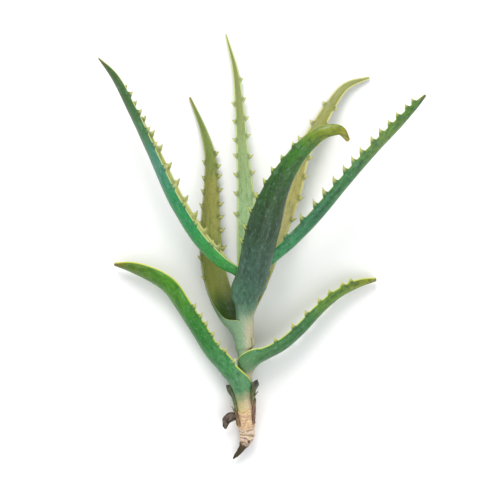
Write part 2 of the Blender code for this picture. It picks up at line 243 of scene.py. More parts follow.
class Graph:
    """The nodes of one material under construction."""

    def __init__(self, name: str) -> None:
        """Start a material.

        Args:
            name: The material's name.
        """
        self.material = bpy.data.materials.new(name)
        self.material.use_nodes = True
        self.tree = self.material.node_tree
        self.shader = self.tree.nodes["Principled BSDF"]

    def set(self, **values: object) -> None:
        """Set the shader's own sockets, with underscores for the spaces in their names."""
        for name, value in values.items():
            self.shader.inputs[name.replace("_", " ")].default_value = value

    def link(self, source: bpy.types.NodeSocket, node: bpy.types.Node, socket: object) -> None:
        """Join a socket to an input of a node."""
        self.tree.links.new(source, node.inputs[socket])

    def attribute(self, name: str) -> bpy.types.NodeSocket:
        """The vector that the mesh holds under a name."""
        node = self.tree.nodes.new("ShaderNodeAttribute")
        node.attribute_name = name
        return node.outputs["Vector"]

    def split(self, vector: bpy.types.NodeSocket) -> list[bpy.types.NodeSocket]:
        """The three numbers of a vector."""
        node = self.tree.nodes.new("ShaderNodeSeparateXYZ")
        self.link(vector, node, 0)
        return list(node.outputs)

    def stretch(self, vector: bpy.types.NodeSocket, scale: Colour) -> bpy.types.NodeSocket:
        """A vector with each of its numbers multiplied."""
        node = self.tree.nodes.new("ShaderNodeMapping")
        node.inputs["Scale"].default_value = scale
        self.link(vector, node, "Vector")
        return node.outputs[0]

    def math(self, kind: str, first: bpy.types.NodeSocket, second: object = 0.0) -> bpy.types.NodeSocket:
        """A number worked out from one or two others.

        Args:
            kind: The Math node's operation.
            first: The first number.
            second: The second, a socket or a value.

        Returns:
            The result's socket.
        """
        node = self.tree.nodes.new("ShaderNodeMath")
        node.operation = kind
        self.link(first, node, 0)
        if isinstance(second, bpy.types.NodeSocket):
            self.link(second, node, 1)
        else:
            node.inputs[1].default_value = second
        return node.outputs[0]

    def fade(self, value: bpy.types.NodeSocket, low: float, high: float, top: float = 1.0) -> bpy.types.NodeSocket:
        """Ease a number from 0 to a top value between two limits.

        Args:
            value: The number.
            low: Where the result leaves 0.
            high: Where it reaches the top.
            top: The highest result.

        Returns:
            The result's socket.
        """
        node = self.tree.nodes.new("ShaderNodeMapRange")
        node.interpolation_type = "SMOOTHSTEP"
        node.inputs["From Min"].default_value = low
        node.inputs["From Max"].default_value = high
        node.inputs["To Max"].default_value = top
        self.link(value, node, "Value")
        return node.outputs["Result"]

    def noise(self, vector: bpy.types.NodeSocket, scale: float, detail: float = 3.0) -> bpy.types.NodeSocket:
        """Soft noise on a vector, about 0.5."""
        node = self.tree.nodes.new("ShaderNodeTexNoise")
        node.inputs["Scale"].default_value = scale
        node.inputs["Detail"].default_value = detail
        self.link(vector, node, "Vector")
        return node.outputs["Fac"]

    def ramp(self, value: bpy.types.NodeSocket, stops: Stops) -> bpy.types.NodeSocket:
        """A colour that changes with a number.

        Args:
            value: The number.
            stops: Places and the colour at each, in order.

        Returns:
            The colour's socket.
        """
        node = self.tree.nodes.new("ShaderNodeValToRGB")
        band = node.color_ramp
        band.interpolation = "EASE"
        while len(band.elements) < len(stops):
            band.elements.new(0.5)
        for element, (place, colour) in zip(band.elements, stops):
            element.position = place
            element.color = (*colour, 1.0)
        self.link(value, node, 0)
        return node.outputs["Color"]

    def blend(
        self,
        share: bpy.types.NodeSocket,
        first: bpy.types.NodeSocket,
        second: object,
        kind: str = "MIX",
    ) -> bpy.types.NodeSocket:
        """Mix one colour with another.

        Args:
            share: How much of the second colour there is.
            first: The first colour.
            second: The second, a socket or a colour.
            kind: The mix node's blend type.

        Returns:
            The colour's socket.
        """
        node = self.tree.nodes.new("ShaderNodeMix")
        node.data_type = "RGBA"
        node.blend_type = kind
        self.link(share, node, 0)
        self.link(first, node, 6)
        if isinstance(second, bpy.types.NodeSocket):
            self.link(second, node, 7)
        else:
            node.inputs[7].default_value = (*second, 1.0)
        return node.outputs[2]

    def bump(self, height: bpy.types.NodeSocket, distance: float, strength: float = 1.0) -> None:
        """Raise the shader's surface by a height.

        Args:
            height: The height, 0 to 1.
            distance: What a height of 1 stands for, in metres.
            strength: How strongly it shows.
        """
        node = self.tree.nodes.new("ShaderNodeBump")
        node.inputs["Distance"].default_value = distance
        node.inputs["Strength"].default_value = strength
        self.link(height, node, "Height")
        self.link(node.outputs[0], self.shader, "Normal")


@dataclass(frozen=True)
class LeafSkin:
    """The waxy skin of a living leaf."""

    outer: Stops  # colours of the outer face from foot to tip
    inner: Stops  # colours of the channel from foot to tip
    margin: Colour  # colour of the horny margin
    tooth: Colour = tone(186, 184, 112)  # colour of a tooth's point
    ring: Colour = tone(45, 75, 40)  # painted shadow colour round a tooth's foot
    speck: Colour = tone(190, 215, 190)  # colour of the pale flecks
    specks: float = 0.35  # how strongly the flecks show
    shade: Colour = tone(35, 70, 35)  # colour of the mottling
    mottle: float = 0.35  # how strongly the mottling shows
    blush: Colour = tone(185, 165, 135)  # colour of the blush on the sheath
    blush_share: float = 0.0  # how strongly it shows
    blush_end: float = 0.16  # where it has faded, as a share of the leaf's length
    tooth_shadow: float = 0.35  # how strongly the painted shadow at a tooth's foot shows
    bloom: Colour = tone(130, 165, 150)  # colour of the waxy bloom
    bloom_share: float = 0.22  # how strongly it shows
    rim: float = 1.1  # width of the margin's colour, millimetres

    def make(self, name: str) -> bpy.types.Material:
        """Build the material.

        Args:
            name: The material's name.

        Returns:
            The material.
        """
        graph = Graph(name)
        along, across, side = graph.split(graph.attribute("growth"))
        skin = graph.attribute("skin")
        inset = graph.split(skin)[2]
        tooth, tooth_shadow, _ = graph.split(graph.attribute("tooth"))
        flat = graph.stretch(skin, (1.0, 1.0, 0.0))
        drift = graph.noise(graph.stretch(flat, (0.03, 0.12, 1.0)), 1.0, 2.0)
        shift = graph.math("MULTIPLY", graph.math("SUBTRACT", drift, 0.5), 0.07)
        along = graph.math("ADD", along, shift)
        face = graph.fade(side, 0.35, 0.65)
        outer = graph.ramp(along, tuple((place, deepen(colour)) for place, colour in self.outer))
        inner = graph.ramp(along, tuple((place, deepen(colour)) for place, colour in self.inner))
        colour = graph.blend(face, outer, inner)
        spot = graph.tree.nodes.new("ShaderNodeTexCoord").outputs["Object"]
        right = graph.fade(graph.split(spot)[0], COLUMN - 0.005, COLUMN + 0.006)
        blush = graph.math("MULTIPLY", graph.fade(along, self.blush_end, self.blush_end * 0.4), right)
        colour = graph.blend(graph.math("MULTIPLY", blush, self.blush_share), colour, self.blush)
        blotch = graph.noise(graph.stretch(flat, (0.09, 0.26, 1.0)), 1.0, 4.0)
        grown = graph.fade(along, self.blush_end * 0.5, self.blush_end * 1.5)
        spots = graph.math("MULTIPLY", graph.fade(blotch, 0.47, 0.70, self.mottle), grown)
        colour = graph.blend(spots, colour, deepen(self.shade))
        patch = graph.noise(graph.stretch(flat, (0.28, 0.5, 1.0)), 1.0, 5.0)
        spots = graph.math("MULTIPLY", graph.fade(patch, 0.50, 0.66, self.mottle * 0.8), grown)
        colour = graph.blend(spots, colour, deepen(self.shade))
        bloom = graph.noise(graph.stretch(flat, (0.22, 0.42, 1.3)), 1.0, 4.0)
        colour = graph.blend(graph.fade(bloom, 0.52, 0.72, self.bloom_share), colour, self.bloom)
        thread = graph.noise(graph.stretch(flat, (0.05, 1.7, 1.0)), 1.0, 2.0)
        colour = graph.blend(graph.fade(thread, 0.40, 0.75, 0.28), colour, self.speck, "SOFT_LIGHT")
        pore = graph.noise(graph.stretch(flat, (0.9, 1.4, 1.0)), 1.0, 4.0)
        colour = graph.blend(graph.fade(pore, 0.30, 0.70, 0.5), colour, graph.ramp(pore, PORES), "OVERLAY")
        fleck = graph.noise(graph.stretch(flat, (0.50, 1.35, 1.0)), 1.0, 2.0)
        colour = graph.blend(graph.fade(fleck, 0.60, 0.74, self.specks * 0.6), colour, self.speck)
        colour = graph.blend(graph.fade(inset, self.rim, 0.35 * self.rim, 0.85), colour, self.margin)
        # painted shadow round the foot of each tooth
        colour = graph.blend(graph.fade(tooth_shadow, 0.05, 0.75, self.tooth_shadow), colour, deepen(self.ring))
        colour = graph.blend(graph.fade(tooth, 0.22, 0.65, 0.9), colour, self.tooth)
        graph.link(colour, graph.shader, "Base Color")
        grain = graph.noise(graph.stretch(flat, (0.7, 1.9, 1.0)), 1.4, 3.0)
        height = graph.math("ADD", graph.math("MULTIPLY", thread, 0.9), grain)
        graph.bump(height, 0.00025, 0.45)
        gloss = graph.noise(graph.stretch(flat, (0.12, 0.3, 1.0)), 1.0, 3.0)
        graph.link(graph.math("ADD", graph.fade(gloss, 0.2, 0.9, 0.24), 0.30), graph.shader, "Roughness")
        graph.set(Metallic=0.0, Specular_IOR_Level=0.42, Coat_Weight=0.10, Coat_Roughness=0.35)
        graph.set(Sheen_Weight=0.04, Sheen_Roughness=0.5, Sheen_Tint=(0.75, 0.9, 0.85, 1.0))
        graph.set(Subsurface_Weight=0.10, Subsurface_Scale=0.003, Subsurface_Radius=(0.5, 1.0, 0.3))
        return graph.material


@dataclass(frozen=True)
class DrySkin:
    """Dead, papery or corky tissue with fibres that run along it."""

    light: Colour
    dark: Colour
    fibre: Colour
    edge: Colour  # colour of the torn margin
    roughness: float = 0.78
    ringed: bool = False  # the fibres and folds run round instead of along

    def make(self, name: str) -> bpy.types.Material:
        """Build the material.

        Args:
            name: The material's name.

        Returns:
            The material.
        """
        graph = Graph(name)
        _, across, _ = graph.split(graph.attribute("growth"))
        flat = graph.stretch(graph.attribute("skin"), (1.0, 1.0, 0.0))
        blotch = graph.noise(graph.stretch(flat, (0.25, 0.4, 1.0)), 1.0, 5.0)
        colour = graph.ramp(blotch, ((0.36, self.dark), (0.64, self.light)))
        grain = (1.1, 0.10, 1.0) if self.ringed else (0.22, 3.4, 1.0)
        fibre = graph.noise(graph.stretch(flat, grain), 1.0, 4.0)
        colour = graph.blend(graph.fade(fibre, 0.48, 0.70, 0.75), colour, self.fibre)
        edge = graph.math("ABSOLUTE", across)
        colour = graph.blend(graph.fade(edge, 0.82, 0.99, 0.8), colour, self.edge)
        graph.link(colour, graph.shader, "Base Color")
        graph.bump(graph.math("ADD", fibre, graph.math("MULTIPLY", blotch, 0.7)), 0.0006, 0.7)
        graph.set(Metallic=0.0, Roughness=self.roughness, Specular_IOR_Level=0.25)
        graph.set(Sheen_Weight=0.05, Subsurface_Weight=0.03, Subsurface_Scale=0.002)
        return graph.material


@dataclass(frozen=True)
class StubSkin:
    """The wrinkled, corky skin of the shrunken stub, dark where its end has withered, with painted shade in the bottoms
    of its folds.
    """

    tail: Colour = tone(62, 55, 34)
    cream: Colour = tone(226, 207, 182)
    pink: Colour = tone(196, 160, 142)
    tan: Colour = tone(205, 176, 120)
    core: Colour = tone(150, 175, 130)
    # colour of the dark fibres, also of the painted shade in the folds
    crease: Colour = tone(120, 84, 62)

    def make(self, name: str) -> bpy.types.Material:
        """Build the material.

        Args:
            name: The material's name.

        Returns:
            The material.
        """
        graph = Graph(name)
        along, across, fold = graph.split(graph.attribute("growth"))
        flat = graph.stretch(graph.attribute("skin"), (1.0, 1.0, 0.0))
        patch = graph.noise(graph.stretch(flat, (0.25, 0.3, 1.0)), 1.0, 4.0)
        body = graph.ramp(patch, ((0.35, self.pink), (0.52, self.cream), (0.68, self.tan)))
        ends = graph.math("ADD", along, graph.math("MULTIPLY", graph.math("SUBTRACT", patch, 0.5), 0.05))
        colour = graph.blend(graph.fade(ends, 0.145, 0.105), body, self.tail)
        colour = graph.blend(graph.fade(ends, 0.40, 0.55), colour, self.core)
        # painted shade in the bottoms of the wrinkles and between the ridges of the twisted end
        colour = graph.blend(graph.fade(fold, 0.45, 0.15, 0.65), colour, self.crease)
        thread = graph.noise(graph.stretch(flat, (0.3, 2.6, 1.0)), 1.0, 4.0)
        colour = graph.blend(graph.fade(thread, 0.55, 0.75, 0.45), colour, self.crease)
        colour = graph.blend(graph.fade(across, 0.40, 0.60, 0.9), colour, self.tail)
        graph.link(colour, graph.shader, "Base Color")
        grain = graph.noise(graph.stretch(flat, (1.2, 1.6, 1.0)), 1.0, 5.0)
        graph.bump(graph.math("ADD", thread, grain), 0.0005, 0.6)
        graph.set(Metallic=0.0, Roughness=0.66, Specular_IOR_Level=0.35)
        graph.set(Subsurface_Weight=0.06, Subsurface_Scale=0.002)
        return graph.material


class Cap(Enum):
    """How an end of a bent grid is closed."""

    STRIP = "strip"
    POINT = "point"


@dataclass(frozen=True)
class Node:
    """One vertex of a ring: where it is and what its finish reads there."""

    at: Vector
    growth: tuple[float, float, float]
    skin: tuple[float, float, float]
    tooth: tuple[float, float, float] = (0.0, 0.0, 0.0)


def close_strip(mesh: bmesh.types.BMesh, ring: list[bmesh.types.BMVert]) -> None:
    """Join the outer and inner half of a ring with a strip of faces.

    Args:
        mesh: The mesh that holds the ring.
        ring: Vertices of the outer face from margin to margin, then back along the inner face.
    """
    count = len(ring)
    for index in range(count // 2):
        corners = [ring[index], ring[index + 1], ring[count - index - 1], ring[-index % count]]
        mesh.faces.new(list(dict.fromkeys(corners)))


def bend_grid(name: str, rings: list[list[Node]], foot: Cap, tip: Cap, shoot: float = 1.0) -> bpy.types.Object:
    """Bend a grid into a closed tube through rings of points.

    Args:
        name: The piece's name.
        rings: The rings, from foot to tip, each with the same number of points.
        foot: How the foot is closed.
        tip: How the tip is closed.
        shoot: How far a pointed end stands past its ring.

    Returns:
        The piece.
    """
    width = len(rings[0])
    mesh = bmesh.new()
    growth = mesh.verts.layers.float_vector.new("growth")
    skin = mesh.verts.layers.float_vector.new("skin")
    tooth = mesh.verts.layers.float_vector.new("tooth")
    made = bmesh.ops.create_grid(mesh, x_segments=width, y_segments=len(rings) - 1, size=1.0)["verts"]
    rows = [made[index * (width + 1) : (index + 1) * (width + 1)] for index in range(len(rings))]
    seam = {}
    for row, ring in zip(rows, rings):
        for vertex, node in zip(row, ring + ring[:1]):
            vertex.co = (node.at + SHIFT) * MM
            vertex[growth] = node.growth
            vertex[skin] = node.skin
            vertex[tooth] = node.tooth
        seam[row[-1]] = row[0]
    bmesh.ops.weld_verts(mesh, targetmap=seam)
    for row, near, close in ((rows[0], rows[1], foot), (rows[-1], rows[-2], tip)):
        ring = row[:-1]
        if close is Cap.STRIP:
            close_strip(mesh, ring)
            continue
        middle = sum((vertex.co for vertex in ring), Vector()) / width
        behind = sum((vertex.co for vertex in near[:-1]), Vector()) / width
        point = mesh.verts.new(middle + (middle - behind).normalized() * shoot * MM)
        point[growth] = ring[0][growth]
        point[skin] = ring[0][skin]
        for before, after in zip(ring, ring[1:] + ring[:1]):
            mesh.faces.new((before, after, point))
    bmesh.ops.recalc_face_normals(mesh, faces=mesh.faces)
    data = bpy.data.meshes.new(name)
    mesh.to_mesh(data)
    mesh.free()
    data.shade_smooth()
    data.set_sharp_from_angle(angle=math.radians(60))
    piece = bpy.data.objects.new(name, data)
    bpy.context.collection.objects.link(piece)
    return piece


def adopt(piece: bpy.types.Object, node: str, finish: bpy.types.Material) -> None:
    """Dress a piece and let it stand for a solid of the frame.

    Args:
        piece: The piece.
        node: The solid's name.
        finish: The piece's material.
    """
    piece.data.materials.append(finish)
    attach(piece, BODY)
    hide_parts(node)
    LOG.info("%s: %d faces", piece.name, len(piece.data.polygons))


@dataclass(frozen=True)
class Teeth:
    """A row of teeth along one margin."""

    first: float = 0.0  # distance of the first from the leaf's foot
    last: float = 0.0
    count: int = 0
    crowd: float = 1.0  # below 1 crowds them toward the tip

    def places(self, dice: random.Random) -> list[float]:
        """Distances of the teeth from the leaf's foot, a little uneven.

        Args:
            dice: Source of the unevenness.

        Returns:
            The distances.
        """
        steps = max(self.count - 1, 1)
        reach = self.last - self.first
        spread = 0.12 * reach / steps
        return [
            self.first + reach * (index / steps) ** self.crowd + dice.uniform(-spread, spread)
            for index in range(self.count)
        ]


@dataclass
class Leaf:
    """One leaf: a sheath that clasps the stem and opens into a thick, channelled, toothed blade."""

    name: str
    finish: LeafSkin | DrySkin
    knots: tuple[Knot, ...]
    before: Teeth = field(default_factory=Teeth)  # margin on the leaf's left, seen into its channel
    after: Teeth = field(default_factory=Teeth)  # margin on its right
    tooth_length: float = 3.6
    tooth_half: float = 2.4  # half of a tooth's foot along the margin
    splay: float = 0.0  # 0 has the teeth carry on the leaf's curve, 1 has them stand out sideways
    lean: float = 0.6  # how far a tooth leans toward the tip, as a share of its length
    segments: int = 26  # facets across one face
    spacing: float = 1.8  # distance between two plain rows
    sheath: float = 0.0  # the rings stand close together from the foot to here
    fullness: float = 1.0  # widens the whole section
    ripple: float = 0.10  # unevenness of the surface
    crumple: float = 0.0  # depth of the folds of a dried leaf
    ragged: float = 0.0  # how far a torn end is frayed
    blunt: bool = False
    seed: int = 1

    def _rows(self, length: float, teeth: list[float]) -> list[float]:
        """Distances of the rings from the foot, close together at the teeth."""
        end = length - (0.0 if self.blunt else 0.9)
        count = max(int(end / self.spacing), 6)
        rows = {round(end * index / count, 3) for index in range(count + 1)}
        if not self.blunt:
            rows |= {round(0.55 * step, 3) for step in range(int(min(self.sheath, end) / 0.55))}
        for place in teeth:
            for share in (-1.0, -0.7, -0.45, -0.22, -0.08, 0.0, 0.08, 0.22, 0.45, 0.7, 1.0):
                rows.add(round(min(max(place + share * self.tooth_half, 0.0), end), 3))
        ordered = sorted(rows)
        kept = ordered[:1]
        for row in ordered[1:-1]:
            if row - kept[-1] > 0.12:
                kept.append(row)
        return kept + ordered[-1:]

    def _spike(self, place: float, teeth: list[float], length: float) -> float:
        """Height of the margin above its plain line, as a share of a full tooth, below 0 away from one."""
        size = -1.0
        for tooth in teeth:
            reach = abs(place - tooth) / self.tooth_half
            scale = 0.62 + 0.38 * math.sin(math.pi * min(max(tooth / length, 0.08), 0.92))
            size = max(size, scale * (1.0 - reach) ** 1.2 if reach < 1.0 else 0.6 * (1.0 - reach))
        return size

    def _ring(self, track: Track, place: float, spikes: tuple[float, float]) -> list[Node]:
        """One ring of the leaf.

        Args:
            track: The leaf's knots as a smooth line.
            place: Distance from the foot.
            spikes: Height of the tooth on the left and on the right margin, as a share of a full one.

        Returns:
            Points of the outer face from margin to margin, then back along the inner face.
        """
        x, y, z, roll, radius, half_angle, thickness, depth, lead = track.at(place)
        radius *= self.fullness
        direction = track.direction(place)
        face, side = facing(direction, math.radians(roll))
        keel, limit = Vector((x, y, z)), math.radians(half_angle)
        outer, inner = [], []
        for index in range(self.segments + 1):
            even = 2.0 * index / self.segments - 1.0
            share = 0.5 * even + 0.5 * math.sin(math.pi * even / 2.0)
            angle = limit * share
            point = keel + face * depth * radius * (1 - math.cos(angle)) + side * radius * math.sin(angle)
            point += direction * lead * (1 - math.cos(angle)) / 2.0
            inward = (face * math.cos(angle) - side * depth * math.sin(angle)).normalized()
            flesh = thickness * math.sqrt(max(1.0 - share * share, 0.0))
            outward = (face * depth * math.sin(abs(angle)) + side * math.copysign(math.cos(angle), share)).normalized()
            outward = outward.lerp(side * math.copysign(1.0, share), self.splay).normalized()
            full = spikes[0] if share < 0 else spikes[1]
            spike = max(full, 0.0) * smooth(0.72, 1.0, abs(share))
            # share of the painted shadow round the tooth's foot
            tooth_shadow = max(full + 0.6, 0.0) / 1.6 * smooth(0.66, 0.94, abs(share))
            point += (outward + direction * self.lean * spike) * spike * self.tooth_length
            arc = radius * angle
            fray = noise.noise(Vector((arc * 0.55, self.seed * 2.1, 0.0))) * self.ragged
            point += direction * fray * smooth(0.35, 1.0, place / track.length)
            wave = noise.noise(Vector((place * 0.07, arc * 0.12, self.seed * 3.7))) * self.ripple
            fold = noise.noise(Vector((place * 0.22, arc * 0.9, self.seed * 1.3))) * self.crumple
            point -= inward * (wave + fold)
            middle = 0.5 if abs(share) > 0.999 else 0.0
            tooth = (spike, tooth_shadow, 0.0)
            inset = (limit - abs(angle)) * radius
            outer.append(Node(point, (place / track.length, share, middle), (place, arc, inset), tooth))
            skin = (place + 300.0, arc, inset)
            inner.append(Node(point + inward * flesh, (place / track.length, share, 1.0), skin, tooth))
        return outer + inner[-2:0:-1]

    def build(self) -> bpy.types.Object:
        """Build the leaf from its knots.

        Returns:
            The piece.
        """
        track = Track([astuple(knot) for knot in self.knots])
        dice = random.Random(self.seed)
        before, after = self.before.places(dice), self.after.places(dice)
        rings = []
        for place in self._rows(track.length, before + after):
            spikes = (self._spike(place, before, track.length), self._spike(place, after, track.length))
            rings.append(self._ring(track, place, spikes))
        tip = Cap.STRIP if self.blunt else Cap.POINT
        return bend_grid(f"{self.name}_form", rings, Cap.STRIP, tip, 0.9)

    def dress(self, piece: bpy.types.Object) -> None:
        """Give the leaf its skin and let it stand for its solid."""
        adopt(piece, self.name, self.finish.make(f"{self.name}_skin"))


@dataclass
class Stub:
    """The stem: its withered twisted end, the wrinkled stub and the smooth core inside the sheaths."""

    finish: StubSkin = field(default_factory=StubSkin)
    sides: int = 72
    spacing: float = 0.55
    top: float = 31.0  # the wrinkles run from the end to here
    wrinkle: float = 0.55  # depth of the folds
    pitch: float = 3.3  # distance between two folds
    knot_place: float = 17.5  # where the dark scar is
    knot_angle: float = 0.5
    radii: tuple[tuple[float, float, float, float], ...] = (
        (0.0, 0.0, 0.0, 0.7),
        (4.0, 0.0, 0.0, 1.7),
        (10.0, 0.0, 0.0, 2.6),
        (15.0, 0.0, 0.0, 4.3),
        (20.0, 0.0, 0.0, 5.9),
        (27.0, 0.0, 0.0, 6.4),
        (33.0, 0.0, 0.0, 5.6),
        (52.0, 0.0, 0.0, 5.1),
        (66.0, 0.0, 0.0, 4.7),
        (86.0, 0.0, 0.0, 4.4),
        (101.0, 0.0, 0.0, 3.9),
        (112.0, 0.0, 0.0, 2.9),
        (117.0, 0.0, 0.0, 1.2),
    )

    def _node(self, place: float, angle: float, radius: float, end: float) -> Node:
        """One point of the stem's skin.

        Args:
            place: Distance from the stem's end.
            angle: Angle round the stem.
            radius: The stem's plain radius there.
            end: The stem's length.

        Returns:
            The point.
        """
        face, side = facing(STEM.direction(place), 0.0)
        away = face * math.cos(angle) + side * math.sin(angle)
        fade = 1.0 - smooth(self.top - 8.0, self.top, place)
        drift = noise.noise(away * 1.3 + Vector((0.0, 0.0, place * 0.10)))
        fold = 0.5 + 0.5 * math.sin(2.0 * math.pi * (place / self.pitch + 0.9 * drift) + 0.8 * math.sin(angle))
        ridge = 0.5 + 0.5 * math.sin(5.0 * angle + place * 0.35 + 2.5 * drift)
        stub = fade * smooth(9.0, 16.0, place)
        tail = 1.0 - smooth(9.0, 16.0, place)
        reach = radius - self.wrinkle * (1.0 - fold) ** 2 * stub - 0.30 * radius * (1.0 - ridge) * tail
        reach -= 0.4 * (1.0 - ridge) * stub
        scar = math.hypot(place - self.knot_place, radius * (angle - self.knot_angle))
        reach += 0.7 * (1.0 - smooth(0.6, 1.9, scar))
        mark = 1.0 - smooth(0.9, 1.7, scar)
        # low in the bottoms of the wrinkles and between the ridges, where the finish paints shade
        crease = fold * stub + (1.0 - stub) * (0.3 + 0.7 * ridge if place < self.top else 1.0)
        at = STEM.point(place) + away * reach
        return Node(at, (place / end, mark, crease), (place, radius * angle, 0.0))

    def build(self) -> bpy.types.Object:
        """Build the stem.

        Returns:
            The piece.
        """
        places = [row[0] for row in self.radii]
        end = places[-1]
        count = int(end / self.spacing)
        rings = []
        for index in range(count + 1):
            place = end * index / count
            upper = next(number for number in range(1, len(places)) if place <= places[number] + 1e-9)
            share = (place - places[upper - 1]) / (places[upper] - places[upper - 1])
            low, high = self.radii[upper - 1][3], self.radii[upper][3]
            radius = low + (high - low) * smooth(-0.0001, 1.0, share)
            angles = [2.0 * math.pi * side / self.sides - math.pi for side in range(self.sides)]
            rings.append([self._node(place, angle, radius, end) for angle in angles])
        return bend_grid("stem_form", rings, Cap.POINT, Cap.POINT, 0.4)

    def dress(self, piece: bpy.types.Object) -> None:
        """Give the stem its skin and let it stand for its solid."""
        adopt(piece, "stem", self.finish.make("stem_skin"))


CHANNEL = tone(190, 200, 140)
HORN = tone(168, 176, 92)


def lower_leaves() -> tuple[Leaf, ...]:
    """The two outermost leaves, whose sheaths make the lower half of the column.

    Returns:
        The leaves.
    """
    left = LeafSkin(
        outer=(
            (0.0, tone(226, 205, 150)),
            (0.05, tone(206, 192, 150)),
            (0.085, tone(160, 170, 130)),
            (0.125, tone(104, 156, 110)),
            (0.24, tone(84, 150, 92)),
            (0.45, tone(64, 138, 58)),
            (0.70, tone(92, 152, 48)),
            (0.92, tone(108, 138, 46)),
            (1.0, tone(150, 120, 70)),
        ),
        inner=((0.0, tone(225, 205, 160)), (0.3, tone(150, 170, 100)), (1.0, tone(120, 140, 60))),
        margin=tone(206, 206, 78),
        specks=0.25,
        shade=tone(26, 84, 34),
        mottle=0.45,
        blush=tone(214, 176, 160),
        blush_share=0.5,
        blush_end=0.12,
        rim=1.3,
    )
    right = LeafSkin(
        outer=(
            (0.0, tone(205, 190, 150)),
            (0.07, tone(170, 172, 136)),
            (0.12, tone(104, 150, 104)),
            (0.20, tone(80, 138, 78)),
            (0.50, tone(66, 130, 66)),
            (0.72, tone(118, 158, 66)),
            (0.95, tone(150, 160, 66)),
            (1.0, tone(170, 150, 90)),
        ),
        inner=((0.0, tone(215, 200, 150)), (0.4, tone(140, 165, 90)), (1.0, tone(150, 160, 80))),
        margin=tone(204, 214, 96),
        specks=0.22,
        shade=tone(30, 66, 40),
        mottle=0.6,
        blush=tone(200, 176, 156),
        blush_share=0.7,
        blush_end=0.16,
        rim=1.2,
    )
    return (
        Leaf(
            "leaf_lower_left",
            left,
            (
                on_stem(39, 95, 6.5, 178, 0.9),
                on_stem(48, 95, 7.1, 178, 0.8),
                Knot(-23.0, -108.8, 14.0, 93, 8.3, 177, 0.8),
                Knot(-24.2, -105.2, 15.0, 93, 8.9, 140, 0.9),
                Knot(-25.9, -102.2, 15.4, 93, 9.3, 118, 1.1, 1.04),
                Knot(-29.4, -97.9, 15.8, 97, 9.5, 104, 1.5, 1.06),
                Knot(-34.4, -91.4, 15.8, 108, 9.6, 96, 2.2, 1.08),
                Knot(-40.6, -84.0, 16.3, 112, 9.6, 88, 3.2, 1.06),
                Knot(-51.6, -66.0, 17.4, 117, 9.4, 84, 4.2),
                Knot(-63.0, -48.0, 17.2, 119, 9.2, 82, 4.0),
                Knot(-74.2, -32.8, 16.2, 118, 9.6, 81, 3.8),
                Knot(-87.6, -24.6, 13.6, 116, 8.6, 81, 3.2),
                Knot(-101.0, -18.6, 10.4, 115, 6.0, 80, 2.6),
                Knot(-112.8, -14.6, 7.0, 114, 2.0, 74, 1.3),
            ),
            before=Teeth(36.0, 88.0, 7, 0.95),
            after=Teeth(40.0, 84.0, 5),
            tooth_length=3.4,
            sheath=48.0,
            seed=3,
        ),
        Leaf(
            "leaf_lower_right",
            right,
            (
                on_stem(57, -94, 5.2, 178, 0.6),
                on_stem(66, -96, 5.9, 178, 0.7),
                Knot(-6.8, -94.8, 16.2, -98, 6.4, 178, 0.8),
                Knot(-5.0, -91.2, 17.4, -92, 8.0, 150, 0.9),
                Knot(-2.2, -88.2, 17.8, -96, 8.8, 118, 1.4, 1.03, -3.0),
                Knot(3.0, -85.2, 17.6, -102, 8.5, 95, 2.2, 1.0, -1.5),
                Knot(15.3, -78.6, 17.4, -108, 8.2, 85, 3.2),
                Knot(30.5, -65.6, 16.6, -110, 7.7, 81, 3.6),
                Knot(43.3, -52.0, 15.0, -110, 7.3, 80, 3.4),
                Knot(58.3, -38.8, 12.0, -110, 6.6, 78, 2.9),
                Knot(73.9, -30.8, 8.4, -110, 5.6, 78, 2.2),
                Knot(87.0, -26.4, 5.0, -110, 2.6, 76, 1.2),
            ),
            before=Teeth(52.0, 112.0, 5),
            after=Teeth(40.0, 114.0, 7, 0.7),
            tooth_length=3.6,
            sheath=48.0,
            seed=5,
        ),
    )


